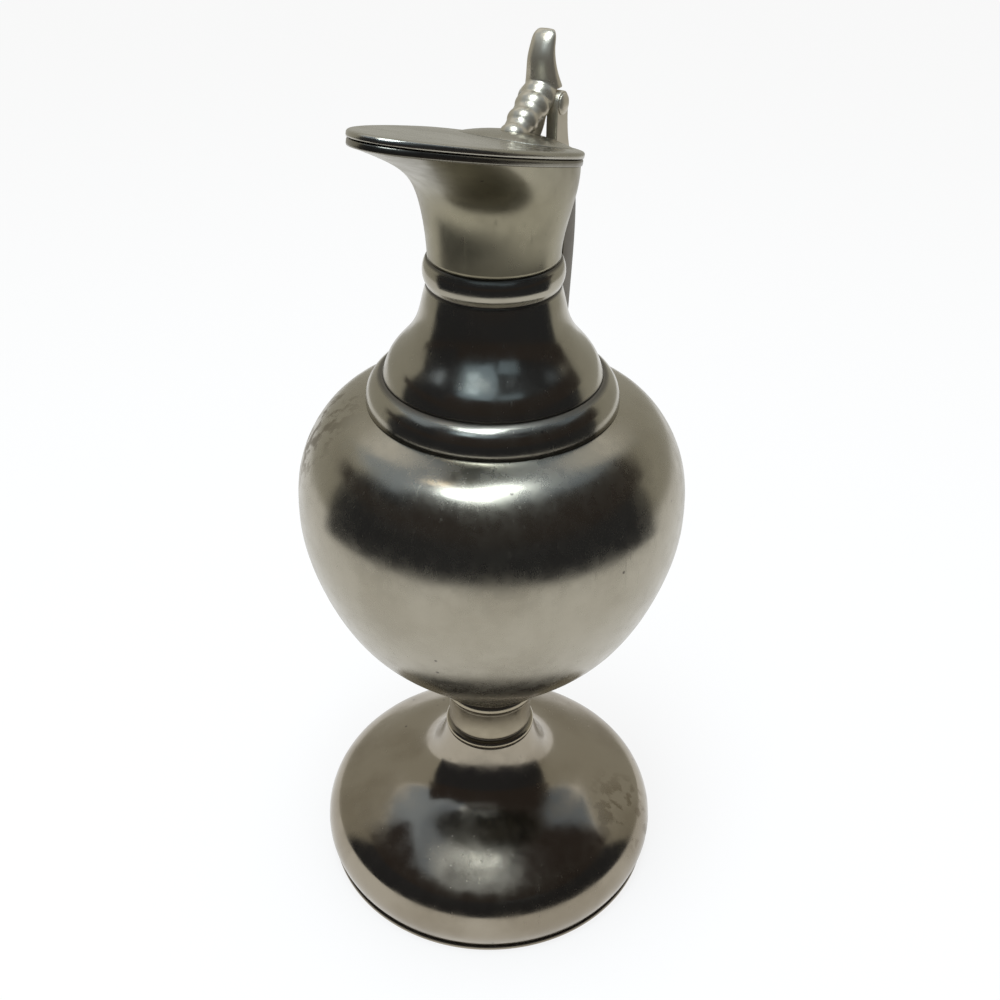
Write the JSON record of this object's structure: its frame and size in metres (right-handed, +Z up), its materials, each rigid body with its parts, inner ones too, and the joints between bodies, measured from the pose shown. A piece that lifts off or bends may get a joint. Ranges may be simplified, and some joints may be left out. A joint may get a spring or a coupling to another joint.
{
  "type": "lidded creamer",
  "caption": "Footed baluster creamer in satin pewter with a drawn-out spout, a strap handle and a hinged lid with a beaded thumbpiece",
  "frame": {"origin": "on the vessel's axis, in the plane that the foot's rim stands on", "axes": "+Z up along the vessel's axis, spout towards -Y, handle towards +Y, hinge pin along X"},
  "size_m": [0.0826, 0.0826, 0.1946],
  "materials": {
    "pewter_body": "satin",
    "pewter_lid": "satin",
    "pewter_foot": "semi-gloss, tarnished"
  },
  "bodies": {
    "vessel": {"foot_rim": "pewter_foot", "foot_bell": "pewter_foot", "stem": "pewter_body", "stem_collar": "pewter_body", "bowl_lower": "pewter_body", "bowl_upper": "pewter_body", "shoulder_band": "pewter_body", "neck_cone": "pewter_body", "neck_bead": "pewter_body", "throat": "pewter_body", "mouth_rim": "pewter_body", "handle_strap": "pewter_body", "handle_foot": "pewter_body", "hinge_lug_near": "pewter_body", "hinge_lug_far": "pewter_body", "hinge_pin": "pewter_body"},
    "lid": {"lid_plate": "pewter_lid", "lid_panel": "pewter_lid", "thumbpiece": "pewter_lid"}
  },
  "joints": [
    {"name": "lid_hinge", "type": "hinge", "parent": "vessel", "child": "lid", "pos_m": [0, 0.0192, 0.1814], "axis": [-1, 0, 0], "range_deg": [0, 75]}
  ]
}
